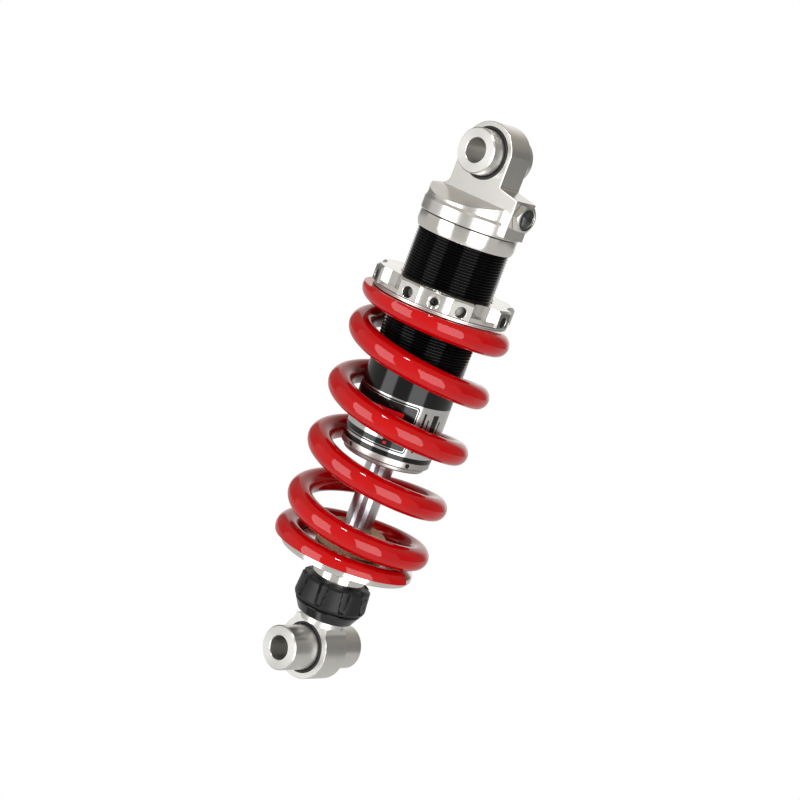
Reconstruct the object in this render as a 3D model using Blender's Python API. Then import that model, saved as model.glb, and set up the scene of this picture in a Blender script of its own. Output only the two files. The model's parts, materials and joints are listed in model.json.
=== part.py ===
"""Motorcycle rear shock absorber, as the separate pieces it comes apart into.

The origin is the centre of the upper eye. +Z runs up along the shock, the bolts through both
eyes run along Y, and the gas valve points to +X. The shock hangs at its full length.
Every length below is in metres.
"""

import math

import bmesh
import bpy
from mathutils import Matrix, Vector

# Driving dimensions
EYE_TO_EYE = 0.275  # between the centres of the two eyes
SPRING_INNER_R = 0.02807
WIRE_R = 0.00638
SPRING_TOP = -0.0815
SPRING_BOTTOM = -0.2195
TUBE_R = 0.02408  # smooth lower part of the damper tube
THREAD_R = 0.02436
TUBE_BORE_R = 0.0200
TUBE_TOP = -0.0313
TUBE_BOTTOM = -0.1596
THREAD_END = -0.112
ROD_R = 0.00745
GAP = 0.0003  # left between pieces that touch

# Eyes
BOLT_R = 0.0063
SLEEVE_R = 0.01175
EYE_BORE_R = 0.0135
UPPER_EYE_R = 0.01624
UPPER_EYE_HALF = 0.00804
UPPER_SLEEVE_HALF = 0.0167
LOWER_EYE_R = 0.0167
LOWER_EYE_HALF = 0.00814
LOWER_SLEEVE_HALF = 0.0265

# Head
HEAD_R = 0.0266
HEAD_BOTTOM = -0.0366
ROOF_RIDGE_Z = -0.0221  # where the sloping shoulders leave the flat faces
ROOF_EAVES_Z = -0.0277
VALVE_Z = -0.0233
BOSS_FACE_X = 0.0290

# Preload ring
RING_R = 0.0375
RING_TOP = -0.0700
RING_BOTTOM = -0.0792
RING_BORE_R = 0.0247
LAND_COUNT = 8
LAND_HALF = 0.0055  # half the width of a land's flat face
FIRST_LAND = math.radians(-79.6)
SCALLOP_DEPTH = 0.0034
LEDGE_TOP = -0.0768
BOSS_R = 0.0382  # of the curved boss that carries the lock screw
PIN_HOLE_Z = -0.0758
SCREW_Z = -0.0753

# Lower end
PERCH_SEAT = SPRING_BOTTOM - GAP
PERCH_R = 0.0360
BUMP_STOP_TOP = -0.2063
PILOT_TOP = -0.2175
KNOB_TOP = -0.2357
KNOB_BOTTOM = -0.2489
DIAL_BOTTOM = -0.25615
STEM_R = 0.0095
STEM_TOP = -0.2343
RIB_COUNT = 9
FIRST_RIB = -48  # degrees
PIN_Z = -0.2480

STEPS = 44  # facets round the large pieces
INNER_STEPS = 24
SMALL_STEPS = 18

UP = Vector((0, 0, 1))
ALONG_Y = Matrix.Rotation(math.radians(-90), 4, "X")
ALONG_X = Matrix.Rotation(math.radians(90), 4, "Y")


# ---------------------------------------------------------------- helpers


def clear_scene():
    for old in list(bpy.data.objects):
        bpy.data.objects.remove(old, do_unlink=True)


def material(name, colour, roughness, metallic):
    finish = bpy.data.materials.new(name)
    finish.use_nodes = True
    shader = finish.node_tree.nodes["Principled BSDF"]
    shader.inputs["Base Color"].default_value = (*colour, 1)
    shader.inputs["Roughness"].default_value = roughness
    shader.inputs["Metallic"].default_value = metallic
    finish.diffuse_color = (*colour, 1)
    return finish


FINISHES = {
    "aluminium": ((0.62, 0.61, 0.58), 0.34, 1.0),
    "black_anodised": ((0.012, 0.012, 0.013), 0.32, 0.6),
    "chrome": ((0.80, 0.80, 0.82), 0.06, 1.0),
    "steel": ((0.50, 0.50, 0.50), 0.30, 1.0),
    "spring_red": ((0.62, 0.006, 0.010), 0.18, 0.0),
    "rubber": ((0.010, 0.010, 0.010), 0.60, 0.0),
    "foam": ((0.50, 0.36, 0.20), 0.85, 0.0),
    "plastic": ((0.020, 0.020, 0.022), 0.42, 0.0),
    "foil": ((0.55, 0.56, 0.58), 0.25, 0.9),
    "bronze": ((0.45, 0.30, 0.12), 0.35, 1.0),
    "ptfe": ((0.10, 0.22, 0.18), 0.50, 0.0),
}


def place(name, bm, finish, parent=None, turn=None):
    """Make the closed mesh `bm` an object with its own material, turned by `turn` first."""
    if turn is not None:
        bmesh.ops.transform(bm, matrix=turn, verts=bm.verts)
    bmesh.ops.recalc_face_normals(bm, faces=bm.faces)
    mesh = bpy.data.meshes.new(name)
    bm.to_mesh(mesh)
    bm.free()
    mesh.shade_smooth()
    mesh.set_sharp_from_angle(angle=math.radians(32))
    obj = bpy.data.objects.new(name, mesh)
    bpy.context.scene.collection.objects.link(obj)
    if finish:
        mesh.materials.append(material(name, *FINISHES[finish]))
    if parent:
        shift = Matrix.Translation(-parent.location)
        mesh.transform(shift)
        obj.parent = parent
    return obj


def joint_frame(name, location=(0, 0, 0), parent=None):
    """An empty on a joint's axis, for the pieces that move together."""
    empty = bpy.data.objects.new(name, None)
    empty.location = location
    empty.empty_display_size = 0.02
    bpy.context.scene.collection.objects.link(empty)
    if parent:
        empty.parent = parent
        empty.matrix_parent_inverse = Matrix.Translation(-parent.location)
    return empty


def turned(outline, steps=STEPS):
    """Spin a closed outline of (radius, height) points round Z."""
    bm = bmesh.new()
    points = [bm.verts.new((r, 0, z)) for r, z in outline]
    edges = [bm.edges.new((a, b)) for a, b in zip(points, points[1:] + points[:1]) if a.co.x + b.co.x > 0]
    bmesh.ops.spin(
        bm, geom=points + edges, cent=(0, 0, 0), axis=UP, angle=2 * math.pi, steps=steps, use_merge=True
    )
    bmesh.ops.remove_doubles(bm, verts=bm.verts, dist=1e-7)
    return bm


def ring(inner, outer, low, high, steps=INNER_STEPS):
    return turned([(inner, low), (outer, low), (outer, high), (inner, high)], steps)


def chamfered_ring(inner, outer, low, high, chamfer, steps=INNER_STEPS):
    return turned(
        [
            (inner, low),
            (outer - chamfer, low),
            (outer, low + chamfer),
            (outer, high - chamfer),
            (outer - chamfer, high),
            (inner, high),
        ],
        steps,
    )


def disc(radius, low, high, steps=INNER_STEPS):
    return turned([(0, low), (radius, low), (radius, high), (0, high)], steps)


def slab(outline, low, high):
    """Extrude a closed outline of (x, y) points from `low` to `high` along Z."""
    bm = bmesh.new()
    face = bm.faces.new([bm.verts.new((x, y, low)) for x, y in outline])
    grown = bmesh.ops.extrude_face_region(bm, geom=[face])["geom"]
    rise = [item for item in grown if isinstance(item, bmesh.types.BMVert)]
    bmesh.ops.translate(bm, vec=UP * (high - low), verts=rise)
    return bm


def box(low, high):
    (x0, y0, z0), (x1, y1, z1) = low, high
    return slab([(x0, y0), (x1, y0), (x1, y1), (x0, y1)], z0, z1)


def arc(centre, radius, start, end, steps):
    """Points on an arc, with angles in degrees."""
    points = []
    for i in range(steps + 1):
        angle = math.radians(start + (end - start) * i / steps)
        points.append((centre[0] + radius * math.cos(angle), centre[1] + radius * math.sin(angle)))
    return points


def combine(obj, operation, name, bm, turn=None, solver="EXACT"):
    """Cut, join or intersect `obj` with a hidden helper made from `bm`."""
    helper = place(name, bm, None, obj.parent, turn)
    helper.hide_render = True
    helper.display_type = "WIRE"
    modifier = obj.modifiers.new(name, "BOOLEAN")
    modifier.operation = operation
    modifier.object = helper
    modifier.solver = solver
    return obj


def cut(obj, name, bm, turn=None, solver="EXACT"):
    return combine(obj, "DIFFERENCE", name, bm, turn, solver)


def pointing_out(angle, height):
    """The matrix that lays a Z-axis shape along the radius at `angle`, at `height`."""
    return Matrix.Translation((0, 0, height)) @ Matrix.Rotation(angle, 4, "Z") @ ALONG_X


# ---------------------------------------------------------------- upper end


def lug_outline():
    """The flat faces of the head, in X and Z: eye, left shoulder and valve boss."""
    left, right = -0.01607, 0.01585
    crown = arc((0, 0), UPPER_EYE_R, 12, 168, 20)
    fillet = arc((left - 0.005, -0.0172), 0.005, 0, -68, 5)
    return [
        (right, -0.0135),
        *crown,
        (left, -0.0100),
        *fillet,
        (-0.0258, -0.0243),
        (-0.0258, HEAD_BOTTOM + 0.002),
        (BOSS_FACE_X, HEAD_BOTTOM + 0.002),
        (BOSS_FACE_X, -0.0155),
    ]


def make_head(parent):
    shoulder = turned(
        [
            (0, HEAD_BOTTOM),
            (HEAD_R, HEAD_BOTTOM),
            (HEAD_R, -0.0303),
            (HEAD_R - 0.0007, -0.0290),
            (HEAD_R - 0.0007, -0.0200),
            (0, -0.0200),
        ]
    )
    head = place("head", shoulder, "aluminium", parent)
    roof = [
        (-HEAD_R, -0.040),
        (HEAD_R, -0.040),
        (HEAD_R, ROOF_EAVES_Z),
        (UPPER_EYE_HALF, ROOF_RIDGE_Z),
        (-UPPER_EYE_HALF, ROOF_RIDGE_Z),
        (-HEAD_R, ROOF_EAVES_Z),
    ]
    upright = Matrix.Rotation(math.radians(90), 4, "Z") @ Matrix.Rotation(math.radians(90), 4, "X")
    combine(head, "INTERSECT", "head_roof", slab(roof, -0.03, 0.03), upright)
    standing = Matrix.Rotation(math.radians(90), 4, "X")
    combine(head, "UNION", "head_lug", slab(lug_outline(), -UPPER_EYE_HALF, UPPER_EYE_HALF), standing)
    for side in (-1, 1):
        corner = Matrix.Translation((BOSS_FACE_X + 0.0035, side * (UPPER_EYE_HALF + 0.0035), -0.025))
        edge_cut = box((-0.004, -0.004, -0.02), (0.004, 0.004, 0.02))
        cut(head, f"boss_chamfer_{side}", edge_cut, corner @ Matrix.Rotation(math.radians(45), 4, "Z"))
    cut(head, "eye_bore", disc(EYE_BORE_R, -0.012, 0.012, 40), ALONG_Y)
    cut(head, "tube_socket", disc(THREAD_R + GAP, -0.040, TUBE_TOP + GAP, STEPS))
    cut(head, "gas_gallery", disc(0.0021, 0.0, 0.0310, 12), Matrix.Translation((0, 0, VALVE_Z)) @ ALONG_X)
    cut(head, "valve_seat", disc(0.0043, 0.0200, 0.0310, 16), Matrix.Translation((0, 0, VALVE_Z)) @ ALONG_X)
    cut(head, "gas_drilling", disc(0.0016, -0.0320, VALVE_Z, 10), solver="MANIFOLD")
    return head


def make_lock_ring(parent):
    outline = [
        (RING_BORE_R, -0.0374),
        (RING_BORE_R, -0.0453),
        (0.0250, -0.0453),
        (0.0262, -0.04224),
        (0.0262, -0.0374),
    ]
    return place("head_lock_ring", turned(outline), "aluminium", parent)


def make_gas_valve(parent):
    on_boss = Matrix.Translation((BOSS_FACE_X, 0, VALVE_Z)) @ ALONG_X
    stem = turned([(0.0022, -0.0085), (0.0040, -0.0085), (0.0040, 0.001), (0.0022, 0.001)], 16)
    body = place("gas_valve_body", stem, "steel", parent, on_boss)
    hexagon = slab(arc((0, 0), 0.0075, 30, 330, 5), GAP, 0.0040)
    combine(body, "UNION", "valve_hexagon", hexagon, on_boss)
    cut(body, "valve_mouth", disc(0.0053, 0.0016, 0.0050, 20), on_boss)
    cut(body, "valve_bore", disc(0.0022, -0.010, 0.0030, 16), on_boss)
    core = turned([(0, -0.0075), (0.0012, -0.0075), (0.0018, -0.0060), (0.0018, 0.0010), (0, 0.0010)], 12)
    place("gas_valve_core", core, "bronze", parent, on_boss)
    dome = [(0, 0.0019), (0.0050, 0.0019), (0.0050, 0.0036), (0.0040, 0.0048), (0.0020, 0.0054), (0, 0.0055)]
    place("gas_valve_cap", turned(dome, SMALL_STEPS), "plastic", parent, on_boss)


def make_eye_fittings(prefix, parent, sleeve_parent, height, eye_half, sleeve_half):
    """Bush, dust seals and sleeve of one eye."""
    across = Matrix.Translation((0, 0, height)) @ ALONG_Y
    bush_half = eye_half - 0.0026
    place(f"{prefix}_bush", ring(0.0120, 0.0132, -bush_half, bush_half), "bronze", parent, across)
    seals = {"front": (-eye_half - 0.0004, -bush_half - GAP), "rear": (bush_half + GAP, eye_half + 0.0004)}
    for side, (low, high) in seals.items():
        place(f"{prefix}_seal_{side}", ring(0.0120, 0.0132, low, high), "rubber", parent, across)
    sleeve = turned(
        [
            (BOLT_R, -sleeve_half),
            (SLEEVE_R - 0.0007, -sleeve_half),
            (SLEEVE_R, -sleeve_half + 0.0007),
            (SLEEVE_R, sleeve_half - 0.0007),
            (SLEEVE_R - 0.0007, sleeve_half),
            (BOLT_R, sleeve_half),
        ],
        36,
    )
    place(f"{prefix}_sleeve", sleeve, "steel", sleeve_parent, across)


# ---------------------------------------------------------------- damper


def make_tube(parent):
    neck_r, neck_top, neck_bottom = THREAD_R - 0.0018, -0.0326, -0.0352
    outline = [
        (TUBE_BORE_R, TUBE_BOTTOM),
        (TUBE_R, TUBE_BOTTOM),
        (TUBE_R, THREAD_END),
        (THREAD_R, THREAD_END),
        (THREAD_R, neck_bottom),
        (neck_r, neck_bottom),
        (neck_r, neck_top),
        (THREAD_R, neck_top),
        (THREAD_R, TUBE_TOP),
        (TUBE_BORE_R, TUBE_TOP),
    ]
    place("damper_tube", turned(outline), "black_anodised", parent)
    o_ring = ring(neck_r + 0.0001, THREAD_R, neck_bottom + GAP, neck_top - GAP, STEPS)
    place("head_o_ring", o_ring, "rubber", parent)
    label = ring(TUBE_R + 0.0001, TUBE_R + 0.0003, -0.1570, -0.1295, STEPS)
    place("tube_label", label, "foil", parent)


def make_seal_head(parent):
    plug_r = TUBE_BORE_R - GAP
    top, flange_top = -0.1375, TUBE_BOTTOM - GAP
    outline = [
        (0.0121, -0.16575),
        (0.0217, -0.16575),
        (0.0219, -0.1634),
        (0.0232, -0.1632),
        (0.0239, -0.1626),
        (0.0239, flange_top),
        (plug_r, flange_top),
        (plug_r, -0.1532),
        (0.0180, -0.1532),
        (0.0180, -0.1500),
        (plug_r, -0.1500),
        (plug_r, top),
        (0.0080, top),
        (0.0080, -0.1392),
        (0.0097, -0.1392),
        (0.0097, -0.1575),
        (0.0121, -0.1575),
    ]
    head = place("seal_head", turned(outline), "aluminium", parent)
    for quarter in range(4):
        angle = math.radians(-98 + 90 * quarter)
        hole = disc(0.00125, 0.0222, 0.0250, 10)
        cut(head, f"spanner_hole_{quarter}", hole, pointing_out(angle, -0.1614))
    place("seal_head_o_ring", ring(0.0182, plug_r, -0.1529, -0.1503, STEPS), "rubber", parent)
    place("rod_bush", ring(0.0078, 0.0095, -0.1570, -0.1396, SMALL_STEPS), "bronze", parent)
    place("rod_seal", ring(0.0078, 0.0119, -0.1612, -0.1580, SMALL_STEPS), "rubber", parent)
    lip = [(0.0078, -0.1615), (0.0119, -0.1615), (0.0119, -0.1655), (0.0090, -0.1663), (0.0078, -0.1668)]
    place("rod_wiper", turned(lip, SMALL_STEPS), "rubber", parent)
    place("top_out_bumper", chamfered_ring(0.0078, 0.0120, -0.1370, -0.1320, 0.001, SMALL_STEPS), "rubber", parent)


def make_floating_piston(parent):
    outer = TUBE_BORE_R - 0.0004
    low, high = -0.0620, -0.0500
    outline = [
        (0, low),
        (outer, low),
        (outer, low + 0.0040),
        (0.0170, low + 0.0040),
        (0.0170, low + 0.0073),
        (outer, low + 0.0073),
        (outer, high),
        (0.0150, high),
        (0.0150, low + 0.0040),
        (0, low + 0.0040),
    ]
    place("floating_piston", turned(outline, INNER_STEPS), "aluminium", parent)
    seal = ring(0.0172, TUBE_BORE_R - 0.0002, low + 0.0043, low + 0.0070)
    place("floating_piston_o_ring", seal, "rubber", parent)


def make_rod(parent):
    spigot_r, shoulder, top, bottom = 0.0049, -0.1290, -0.1000, -0.2402
    bore_r = 0.0025
    rod = turned(
        [
            (bore_r, bottom),
            (ROD_R - 0.0005, bottom),
            (ROD_R, bottom + 0.0005),
            (ROD_R, shoulder),
            (spigot_r, shoulder),
            (spigot_r, top),
            (bore_r, top),
        ],
        32,
    )
    place("piston_rod", rod, "chrome", parent)


def make_piston(parent):
    bore = 0.0052
    place("rebound_washer", ring(bore, 0.0120, -0.1287, -0.1272, SMALL_STEPS), "steel", parent)
    place("rebound_shims", ring(bore, 0.0150, -0.1269, -0.1257, SMALL_STEPS), "steel", parent)
    low, high, groove_low, groove_high = -0.1254, -0.1114, -0.1220, -0.1148
    outline = [
        (bore, low),
        (0.0190, low),
        (0.0190, groove_low),
        (0.0178, groove_low),
        (0.0178, groove_high),
        (0.0190, groove_high),
        (0.0190, high),
        (bore, high),
    ]
    piston = place("piston", turned(outline, INNER_STEPS), "aluminium", parent)
    for port in range(6):
        angle = math.radians(60 * port)
        spot = Matrix.Translation((0.0115 * math.cos(angle), 0.0115 * math.sin(angle), 0))
        drill = disc(0.0022, low - 0.001, high + 0.001, 8)
        cut(piston, f"piston_port_{port}", drill, spot, "MANIFOLD")
    band = ring(0.0180, TUBE_BORE_R - 0.0002, groove_low + GAP, groove_high - GAP)
    place("piston_band", band, "ptfe", parent)
    place("compression_shims", ring(bore, 0.0150, -0.1111, -0.1099, SMALL_STEPS), "steel", parent)
    place("compression_washer", ring(bore, 0.0090, -0.1096, -0.1081, SMALL_STEPS), "steel", parent)
    nut = place("piston_nut", slab(arc((0, 0), 0.0092, 0, 300, 5), -0.1078, -0.1018), "steel", parent)
    cut(nut, "piston_nut_bore", disc(bore, -0.110, -0.100, 16))


# ---------------------------------------------------------------- spring and preload


def left_handed_coil(radius, wire_r, centre_height, turns, start, per_turn, sides, low, high):
    """A wire wound left-handed as it falls from `start`, its ends ground flat at `low` and `high`."""
    bm = bmesh.new()
    count = round(turns * per_turn)
    rings = []
    for i in range(count + 1):
        turn = turns * i / count
        angle = start + 2 * math.pi * turn
        height = centre_height(turn)
        section = []
        for side in range(sides):
            around = 2 * math.pi * side / sides
            reach = radius + wire_r * math.cos(around)
            z = min(high, max(low, height + wire_r * math.sin(around)))
            section.append(bm.verts.new((reach * math.cos(angle), reach * math.sin(angle), z)))
        rings.append(section)
    for a, b in zip(rings, rings[1:]):
        for k in range(sides):
            after = (k + 1) % sides
            bm.faces.new((a[k], a[after], b[after], b[k]))
    bm.faces.new(rings[0])
    bm.faces.new(reversed(rings[-1]))
    bmesh.ops.remove_doubles(bm, verts=bm.verts, dist=1e-7)
    bmesh.ops.triangulate(bm, faces=bm.faces)
    return bm


SPRING_TIP = math.radians(146)  # where the wire starts at the top, behind the shock
# Turns of wire from its top end, and the height of its centre there: closed and ground at both ends
SPRING_FALL = (
    (0.0, -0.0820),
    (0.3, -0.0840),
    (0.6, -0.0878),
    (0.95, -0.0957),
    (1.4, -0.1094),
    (2.0, -0.1284),
    (2.7, -0.1503),
    (3.4, -0.1723),
    (4.0, -0.1908),
    (4.4, -0.2025),
    (4.75, -0.2103),
    (5.05, -0.2154),
    (5.3, -0.2179),
    (5.609, -0.2204),
)
SPRING_TURNS = SPRING_FALL[-1][0]


def spring_height(turn):
    """Height of the wire's centre, `turn` turns below its top end, on a smooth curve."""
    slopes = [(b[1] - a[1]) / (b[0] - a[0]) for a, b in zip(SPRING_FALL, SPRING_FALL[1:])]
    last = len(slopes) - 1
    k = min(last, sum(1 for start, height in SPRING_FALL[1:] if turn >= start))
    (t0, z0), (t1, z1) = SPRING_FALL[k], SPRING_FALL[k + 1]
    entry = (slopes[k] + slopes[max(0, k - 1)]) / 2
    leave = (slopes[k] + slopes[min(last, k + 1)]) / 2
    s, span = (turn - t0) / (t1 - t0), t1 - t0
    along = (3 * s**2 - 2 * s**3) * (z1 - z0)
    return z0 + along + span * (entry * (s**3 - 2 * s**2 + s) + leave * (s**3 - s**2))


def make_spring(parent):
    coil = left_handed_coil(
        SPRING_INNER_R + WIRE_R,
        WIRE_R,
        spring_height,
        SPRING_TURNS,
        SPRING_TIP,
        20,
        10,
        SPRING_BOTTOM,
        SPRING_TOP,
    )
    place("coil_spring", coil, "spring_red", parent)


def ring_outline():
    """The preload ring from above: flat lands with a scallop in each gap."""
    half_land = math.asin(LAND_HALF / RING_R)
    half_gap = math.pi / LAND_COUNT - half_land
    points = []
    for land in range(LAND_COUNT):
        middle = FIRST_LAND + 2 * math.pi * land / LAND_COUNT
        for edge in (middle - half_land, middle + half_land):
            points.append((RING_R * math.cos(edge), RING_R * math.sin(edge)))
        for part in (0.12, 0.3, 0.5, 0.7, 0.88):
            angle = middle + half_land + 2 * half_gap * part
            dip = SCALLOP_DEPTH * (1 - abs(2 * part - 1) ** 3)
            chord = RING_R * math.cos(half_gap) / math.cos(angle - middle - half_land - half_gap)
            points.append(((chord - dip) * math.cos(angle), (chord - dip) * math.sin(angle)))
    return points


def make_preload_ring(parent):
    body = place("preload_ring", slab(ring_outline(), RING_BOTTOM + 0.0002, RING_TOP), "aluminium", parent)
    chamfer = [
        (0, RING_BOTTOM - 0.001),
        (0.040, RING_BOTTOM - 0.001),
        (0.040, RING_TOP - 0.0039),
        (0.0361, RING_TOP),
        (0.0351, RING_TOP + 0.0010),
        (0, RING_TOP + 0.0010),
    ]
    combine(body, "INTERSECT", "ring_chamfer", turned(chamfer))
    combine(body, "UNION", "ring_ledge", disc(0.0364, RING_BOTTOM, LEDGE_TOP, STEPS))
    screw_angle = FIRST_LAND + math.pi / LAND_COUNT
    middle = math.degrees(screw_angle)
    boss = arc((0, 0), BOSS_R, middle - 13.2, middle + 13.2, 6) + arc((0, 0), 0.0320, middle + 13.2, middle - 13.2, 2)
    combine(body, "UNION", "ring_boss", slab(boss, RING_BOTTOM + 0.0004, RING_TOP - 0.0002))
    bore = turned(
        [
            (0, -0.080),
            (RING_BORE_R, -0.080),
            (RING_BORE_R, RING_TOP - 0.0015),
            (RING_BORE_R + 0.0020, RING_TOP + 0.0005),
            (0, RING_TOP + 0.0005),
        ]
    )
    cut(body, "ring_bore", bore)
    for land in range(LAND_COUNT):
        angle = FIRST_LAND + 2 * math.pi * land / LAND_COUNT
        hole = disc(0.0029, 0.0310, 0.0400, 14)
        cut(body, f"ring_pin_hole_{land}", hole, pointing_out(angle, PIN_HOLE_Z), "MANIFOLD")
    screw_axis = pointing_out(screw_angle, SCREW_Z)
    cut(body, "ring_screw_hole", disc(0.0022, 0.0200, 0.0400, 14), screw_axis, "MANIFOLD")
    screw = place("lock_screw", disc(0.0019, 0.0250, 0.0330, 12), "steel", parent, screw_axis)
    cut(screw, "lock_screw_socket", slab(arc((0, 0), 0.0011, 0, 300, 5), 0.0310, 0.0340), screw_axis)


def make_seat_washer(parent):
    washer = chamfered_ring(RING_BORE_R + GAP, 0.0360, SPRING_TOP + GAP, RING_BOTTOM - GAP, 0.0003, STEPS)
    place("spring_seat_washer", washer, "steel", parent)


# ---------------------------------------------------------------- lower end


def make_perch(parent):
    outline = [
        (ROD_R + GAP, -0.2340),
        (0.0141, -0.2340),
        (0.0141, -0.2302),
        (0.0335, -0.2246),
        (0.0352, -0.2240),
        (0.0352, -0.2230),
        (PERCH_R, -0.2230),
        (PERCH_R, PERCH_SEAT),
        (0.0265, PERCH_SEAT),
        (0.0265, PILOT_TOP - 0.0010),
        (0.0255, PILOT_TOP),
        (ROD_R + GAP, PILOT_TOP),
    ]
    place("spring_perch", turned(outline), "aluminium", parent)
    low, high, outer = PILOT_TOP + GAP, BUMP_STOP_TOP, 0.0185
    foam = [
        (0.0080, low),
        (outer, low),
        (outer, high - 0.0025),
        (outer - 0.0030, high),
        (0.0080, high),
    ]
    place("bump_stop", turned(foam, 32), "foam", parent)


def rib_outline(radius, depth):
    """The knob from above: wide ribs with flat-bottomed flutes between them."""
    points = []
    floor = radius - depth
    corners = ((-12, radius), (-4, radius), (4, radius), (12, radius), (15, floor), (25, floor))
    for rib in range(RIB_COUNT):
        middle = FIRST_RIB + 360 / RIB_COUNT * rib
        for offset, reach in corners:
            angle = math.radians(middle + offset)
            points.append((reach * math.cos(angle), reach * math.sin(angle)))
    return points


def make_knob(parent):
    knob = place("rebound_knob", slab(rib_outline(0.0205, 0.0032), KNOB_BOTTOM, KNOB_TOP), "plastic", parent)
    shape = turned(
        [
            (STEM_R + 0.0004, KNOB_BOTTOM),
            (0.0188, KNOB_BOTTOM),
            (0.01955, -0.2475),
            (0.0187, KNOB_TOP - 0.0012),
            (0.0165, KNOB_TOP),
            (STEM_R + 0.0004, KNOB_TOP),
        ]
    )
    combine(knob, "INTERSECT", "knob_shape", shape)
    dial = [
        (STEM_R + 0.0004, DIAL_BOTTOM),
        (0.0139, DIAL_BOTTOM),
        (0.0177, -0.2505),
        (0.0184, KNOB_BOTTOM - GAP),
        (STEM_R + 0.0004, KNOB_BOTTOM - GAP),
    ]
    place("knob_dial", turned(dial, 36), "plastic", parent)


def make_lower_eye(parent):
    neck_r, flats_top, fillet_r = 0.0118, -0.2602, 0.005
    neck = [
        (0, flats_top),
        (neck_r, flats_top),
        (neck_r, -0.2566),
        (STEM_R, -0.2566),
        (STEM_R, STEM_TOP),
        (0, STEM_TOP),
    ]
    eye = place("lower_eye", turned(neck, 36), "aluminium", parent)
    across = Matrix.Translation((0, 0, -EYE_TO_EYE)) @ ALONG_Y
    combine(eye, "UNION", "lower_eye_barrel", disc(LOWER_EYE_R, -LOWER_EYE_HALF, LOWER_EYE_HALF, 40), across)
    reach = LOWER_EYE_R + fillet_r
    fillet_z = -EYE_TO_EYE + math.sqrt(reach**2 - (neck_r + fillet_r) ** 2)
    sweep = math.degrees(math.acos((neck_r + fillet_r) / reach))
    flare_outline = [
        (-neck_r, flats_top + 0.0004),
        *arc((-neck_r - fillet_r, fillet_z), fillet_r, 0, -sweep, 3),
        (-0.0100, -0.2700),
        (0.0100, -0.2700),
        *arc((neck_r + fillet_r, fillet_z), fillet_r, 180 + sweep, 180, 3),
        (neck_r, flats_top + 0.0004),
    ]
    flare = slab(flare_outline, -LOWER_EYE_HALF, LOWER_EYE_HALF)
    combine(eye, "UNION", "lower_eye_flare", flare, Matrix.Rotation(math.radians(90), 4, "X"))
    cut(eye, "lower_eye_bore", disc(EYE_BORE_R, -0.012, 0.012, 40), across)
    cut(eye, "rod_socket", disc(ROD_R + GAP, -0.2405, -0.2300, 32))
    cut(eye, "needle_bore", disc(0.0028, -0.2530, -0.2400, 16))
    cut(eye, "pin_slot", box((-0.011, -0.0014, -0.2496), (0.011, 0.0014, -0.2438)))
    cut(eye, "detent_hole", disc(0.0015, 0.0045, 0.0110, 12), pointing_out(math.radians(90), -0.2545))
    ball = bmesh.new()
    bmesh.ops.create_icosphere(ball, subdivisions=2, radius=0.0011)
    place("detent_ball", ball, "steel", parent, Matrix.Translation((0, 0.0083, -0.2545)))
    coil = left_handed_coil(
        0.0009, 0.0002, lambda turn: 0.0068 - 0.0005 * turn, 4, 0, 8, 5, 0.0047, 0.0069
    )
    place("detent_spring", coil, "steel", parent, pointing_out(math.radians(90), -0.2545))


def make_needle(parent):
    rod = turned(
        [(0, -0.2515), (0.0019, -0.2515), (0.0019, -0.1080), (0.0006, -0.1040), (0, -0.1040)],
        14,
    )
    needle = place("rebound_needle", rod, "steel", parent)
    across = Matrix.Translation((0, 0, PIN_Z)) @ ALONG_X
    cut(needle, "needle_cross_hole", disc(0.0011, -0.004, 0.004, 12), across)
    place("adjuster_pin", disc(0.0009, -0.0093, 0.0093, 12), "steel", parent, across)


# ---------------------------------------------------------------- assembly


def main():
    clear_scene()
    lower_centre = (0, 0, -EYE_TO_EYE)
    damper_body = joint_frame("damper_body_frame")
    upper_pivot = joint_frame("upper_sleeve_frame", parent=damper_body)
    gas_side = joint_frame("floating_piston_frame", (0, 0, -0.056), damper_body)
    seat = joint_frame("spring_seat_frame", (0, 0, SPRING_TOP), damper_body)
    preload = joint_frame("preload_ring_frame", (0, 0, RING_BOTTOM), seat)
    rod_side = joint_frame("rod_frame", lower_centre, damper_body)
    knob_axis = joint_frame("rebound_knob_frame", (0, 0, KNOB_BOTTOM), rod_side)
    needle_axis = joint_frame("rebound_needle_frame", (0, 0, PIN_Z), rod_side)
    lower_pivot = joint_frame("lower_sleeve_frame", lower_centre, rod_side)

    make_head(damper_body)
    make_lock_ring(damper_body)
    make_gas_valve(damper_body)
    make_eye_fittings("upper", damper_body, upper_pivot, 0, UPPER_EYE_HALF, UPPER_SLEEVE_HALF)
    make_tube(damper_body)
    make_seal_head(damper_body)
    make_spring(damper_body)
    make_floating_piston(gas_side)
    make_seat_washer(seat)
    make_preload_ring(preload)
    make_rod(rod_side)
    make_piston(rod_side)
    make_perch(rod_side)
    make_lower_eye(rod_side)
    make_eye_fittings("lower", rod_side, lower_pivot, -EYE_TO_EYE, LOWER_EYE_HALF, LOWER_SLEEVE_HALF)
    make_knob(knob_axis)
    make_needle(needle_axis)


main()
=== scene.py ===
"""The looks of a motorcycle rear shock absorber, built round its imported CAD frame.

Everything is in metres in the frame's own axes: the origin is the centre of the upper eye,
+Z runs up along the shock, the bolts run along Y and the gas valve points to +X.
"""

import json
import math

import bmesh
import bpy
from mathutils import Matrix, Vector


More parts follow.
